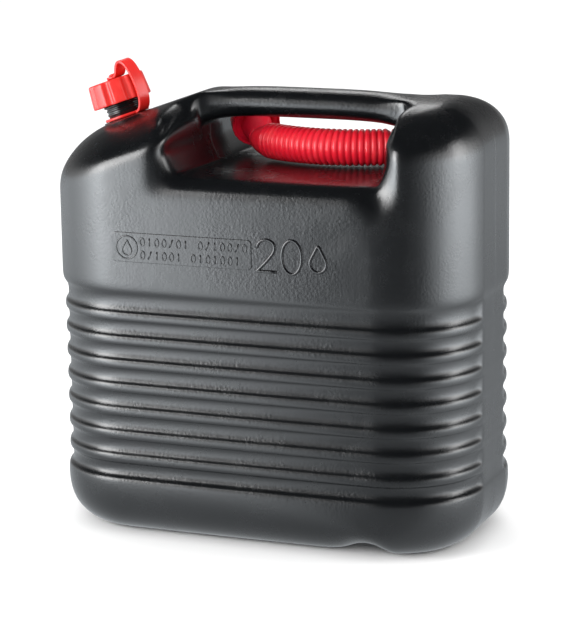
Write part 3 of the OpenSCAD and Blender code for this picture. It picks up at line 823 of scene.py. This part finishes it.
def makeHose(s):
    path = hosePath()
    steps = [0]
    for a, b in zip(path, path[1:]):
        steps.append(steps[-1] + (b - a).length)
    total = steps[-1]

    def at(d):
        i = 1
        while i < len(steps) - 1 and steps[i] < d:
            i += 1
        f = (d - steps[i - 1]) / (steps[i] - steps[i - 1])
        p = path[i - 1].lerp(path[i], f)
        before, after = path[max(i - 2, 0)], path[min(i + 1, len(path) - 1)]
        return p, (after - before).normalized()

    rows = [(s["waist"] - 0.3, -1.5), (s["waist"] + 0.1, 0), (s["waist"] + 0.7, 1.6), (s["waist"] + 1.8, 4.0),
            (s["hoseR"] - 1.7, 8.0), (s["hoseR"] - 0.5, 11.5), (s["hoseR"] - 0.1, 14.5)]
    d = s["firstRidge"]
    while d + s["ridge"] < total - 1:
        rows += [(s["hoseRoot"], d), (s["hoseRoot"] + 0.15, d + 0.45), (s["hoseR"] - 0.25, d + 1.25),
                 (s["hoseR"], d + 2.2), (s["hoseR"], d + 3.3), (s["hoseR"] - 0.25, d + 4.1)]
        d += s["ridge"]
    rows += [(s["hoseRoot"], d), (s["hoseRoot"], total - 0.3)]
    bm = bmesh.new()
    bmesh.ops.create_circle(bm, cap_ends=True, segments=40, radius=1)
    for f in list(bm.faces):
        bm.faces.remove(f)
    edges = list(bm.edges)
    ring = list(bm.verts)
    for k, (r, d) in enumerate(rows):
        if k:
            grown = bmesh.ops.extrude_edge_only(bm, edges=edges)["geom"]
            ring = [g for g in grown if isinstance(g, bmesh.types.BMVert)]
            edges = [g for g in grown if isinstance(g, bmesh.types.BMEdge)]
            edges = [e for e in edges if all(v in ring for v in e.verts)]
        for v in ring:
            a = math.atan2(v.co.y, v.co.x)
            v.co = (r * math.cos(a), r * math.sin(a), d)
    bmesh.ops.holes_fill(bm, edges=openEdges(bm), sides=0)
    for v in bm.verts:
        p, way = at(max(0, v.co.z))
        if v.co.z < 0:
            p = p + way * v.co.z
        side = Vector((0, 0, 1)).cross(way).normalized()
        v.co = p + side * v.co.x + way.cross(side) * v.co.y
    finishPiece("hoseTube", bm, "hoseRed", "spout", ["spout_hose"], levels=1)


def nutRadius(angle, r, s, lobe):
    step = 360 / spout["nutGrooves"]
    off = math.degrees(angle) % step - step / 2
    return r - lobe * spout["nutGrooveDepth"] * math.exp(-(off / spout["nutGrooveDegrees"]) ** 2)


def makeSpoutEnds(s):
    nutPlace = aimed(s["nutFace"], s["aim"])
    # (radius, place along the axis, share of the grooves) round the nut's section
    nutRows = [(13.12, -2.3, 0), (13.12, -0.5, 0), (13.5, 0, 0), (17.2, 0, 0), (17.8, -0.5, 0),
               (18.4, -0.5, 0), (18.9, 0, 0), (19.6, 0, 0), (20.2, -0.4, 0.6), (20.45, -1.3, 1), (20.45, -6, 1),
               (20.45, -11, 1), (20.1, -11.8, 0.6), (19.4, -12, 0), (18.2, -12, 0), (17.75, -11.6, 0),
               (17.75, -2.3, 0), (13.12, -2.3, 0)]
    finishPiece("unionNut", lobed(nutRows, 192, nutRadius, nutPlace), "spoutRed", "union_nut",
                ["spout_union_nut"])
    cone = [(8, s["cone"] + 0.4), (10.6, 2), (10.6, -4.7), (17.4, -4.7), (17.6, -4.5), (17.6, -2.7),
            (17.4, -2.5), (13, -2.5), (13, 2.2), (12.9, 3.4), (12.2, 7), (11.3, 11.5), (10.5, 16.5), (10.1, 20),
            (10, s["cone"] + 0.4)]
    bm = turned(cone, 64, nutPlace)
    finishPiece("spoutCone", bm, "spoutRed", "spout", ["spout_adapter"])
    endWay = Vector((s["bowHalf"], 2 * s["bowBack"], 0)).normalized()
    tip = [(7.5, 0.3), (14.3, 0.3), (14.6, 0.6), (14.6, 3.7), (14.2, 4.1), (12.2, 4.3), (12, 4.8), (11.7, 7),
           (12.1, 7.3), (12.1, 8.2), (11.5, 8.6), (11.2, 11), (11.6, 11.3), (11.6, 12.2), (10.9, 12.6),
           (9.9, 18.4), (9.5, 19.5), (8.9, 19.9), (8, 19.9), (7.5, 19.4)]
    bm = turned(tip, 56, aimed(bow(1), endWay))
    finishPiece("pourTip", bm, "spoutRed", "spout", ["spout_outlet"])


print("spout")
makeHose(spout)
makeSpoutEnds(spout)
for node in ("cap_gasket", "spout_gasket"):
    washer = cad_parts[node]
    washer.data.materials.clear()
    washer.data.materials.append(mats["washerRubber"])

# raised marks on the front: a plain plate with a drop in a ring and plain bars, and the volume in litres

marks = {
    "face": -101.4, "stroke": 1.3, "thin": 0.7, "flatten": 0.78,
    # the plate's left, right, bottom and top, how far it stands out, and its corners
    "plate": (-110.0, 13.0, 235.0, 259.5), "plateOut": 0.6, "plateR": 3.5, "plateEdge": 0.5, "signSunk": 0.15,
    "upper": "0100/01 0/100/0", "upperAt": 5.2, "lower": "0/1001 0101001", "lowerAt": -5.6,
    "signStart": 27.5, "signStep": 6.4, "signHalf": 3.3, "signWide": 1.9, "slashLean": 1.5,
    "badgeAt": 13.6, "badgeR": 9.6, "badgeDrop": 4.2, "badgeDropDown": 2.3,
    "zero": (47.2, 247.5, 8.6, 14.0), "drop": (69.5, 243.6, 7.2),
}


def strokeLine(bm, points, radius, closed=False):
    curve = bpy.data.curves.new("stroke", "CURVE")
    curve.dimensions = "3D"
    curve.bevel_depth, curve.bevel_resolution = radius, 3
    curve.use_fill_caps = True
    line = curve.splines.new("NURBS" if len(points) > 4 else "POLY")
    line.points.add(len(points) - 1)
    for p, (x, z) in zip(line.points, points):
        p.co = (x, 0, z, 1)
    line.use_cyclic_u = closed
    if line.type == "NURBS":
        line.order_u = 4
        line.use_endpoint_u = not closed
        line.resolution_u = 4
    thing = bpy.data.objects.new("stroke", curve)
    scene.collection.objects.link(thing)
    mesh = bpy.data.meshes.new_from_object(thing.evaluated_get(bpy.context.evaluated_depsgraph_get()))
    own = bmesh.new()
    own.from_mesh(mesh)
    bmesh.ops.remove_doubles(own, verts=own.verts, dist=0.001)
    bmesh.ops.scale(own, vec=(1, marks["flatten"], 1), verts=own.verts)
    bmesh.ops.recalc_face_normals(own, faces=own.faces)
    bmesh.ops.translate(own, vec=(0, marks["face"], 0), verts=own.verts)
    bpy.data.objects.remove(thing)
    bpy.data.curves.remove(curve)
    bpy.data.meshes.remove(mesh)
    return joined(own, bm)


def ringPoints(cx, cz, rx, rz, n=16):
    turns = [2 * math.pi * i / n for i in range(n)]
    return [(cx + rx * math.cos(a), cz + rz * math.sin(a)) for a in turns]


def dropPoints(cx, cz, r):
    turns = [math.radians(a) for a in range(-220, 41, 26)]
    body = [(cx + r * math.cos(a), cz + r * math.sin(a)) for a in turns]
    return body + [(cx + 0.25 * r, cz + 1.6 * r), (cx, cz + 2.1 * r), (cx - 0.25 * r, cz + 1.6 * r)]


def makePlate(m):
    # a shallow slab with rounded corners and a sloped edge
    x0, x1, z0, z1 = m["plate"]
    bm = bmesh.new()
    bmesh.ops.create_cube(bm, size=1)
    bmesh.ops.scale(bm, vec=(x1 - x0, 4, z1 - z0), verts=bm.verts)
    upright = [e for e in bm.edges if abs(e.verts[0].co.y - e.verts[1].co.y) > 1]
    bmesh.ops.bevel(bm, geom=upright, offset=m["plateR"], offset_type="OFFSET", affect="EDGES", segments=6,
                    profile=0.5, material=-1)
    front = [e for e in bm.edges if all(v.co.y < -1 for v in e.verts)]
    bmesh.ops.bevel(bm, geom=front, offset=m["plateEdge"], offset_type="OFFSET", affect="EDGES", segments=3,
                    profile=0.5, material=-1)
    bmesh.ops.translate(bm, vec=((x0 + x1) / 2, m["face"] + 2 - m["plateOut"], (z0 + z1) / 2), verts=bm.verts)
    long = [e for e in bm.edges if abs(e.verts[0].co.x - e.verts[1].co.x) > 100]
    bmesh.ops.subdivide_edges(bm, edges=long, cuts=7, use_grid_fill=True)
    for v in bm.verts:
        v.co.y = bulged(v.co.x, v.co.y)
    plate = finishPiece("markPlate", bm, "tankBlack", "root")
    for p in plate.data.polygons:
        p.use_smooth = False


def makeSigns(m):
    s, thin = m["stroke"], m["thin"]
    x0, x1, z0, z1 = m["plate"]
    badge, mid = x0 + m["badgeAt"], (z0 + z1) / 2
    bm = bmesh.new()
    bm = strokeLine(bm, ringPoints(badge, mid, m["badgeR"], m["badgeR"]), thin, closed=True)
    bm = strokeLine(bm, dropPoints(badge, mid - m["badgeDropDown"], m["badgeDrop"]), thin, closed=True)
    for z, signs in ((mid + m["upperAt"], m["upper"]), (mid + m["lowerAt"], m["lower"])):
        for i, sign in enumerate(signs):
            x = x0 + m["signStart"] + i * m["signStep"]
            if sign == "0":
                bm = strokeLine(bm, ringPoints(x, z, m["signWide"], m["signHalf"], 10), thin, closed=True)
            elif sign != " ":
                lean = m["slashLean"] if sign == "/" else 0
                bm = strokeLine(bm, [(x - lean, z - m["signHalf"]), (x + lean, z + m["signHalf"])], thin)
    two = [(17.6, 253.5), (18.4, 257.6), (22.5, 260.6), (28, 260.8), (32.6, 257.8), (33, 252.4),
           (30.2, 248.2), (24.6, 241.9), (17.4, 234.9), (17.4, 234.9), (20, 234.9), (26, 234.9), (34, 234.9)]
    bm = strokeLine(bm, two, s)
    bm = strokeLine(bm, ringPoints(*m["zero"]), s, closed=True)
    bm = strokeLine(bm, dropPoints(*m["drop"]), s, closed=True)
    for v in bm.verts:
        v.co.y -= m["plateOut"] - m["signSunk"] if x0 < v.co.x < x1 else 0
        v.co.y = bulged(v.co.x, v.co.y)
    finishPiece("raisedMarks", bm, "tankBlack", "root")


print("raised marks")
makePlate(marks)
makeSigns(marks)
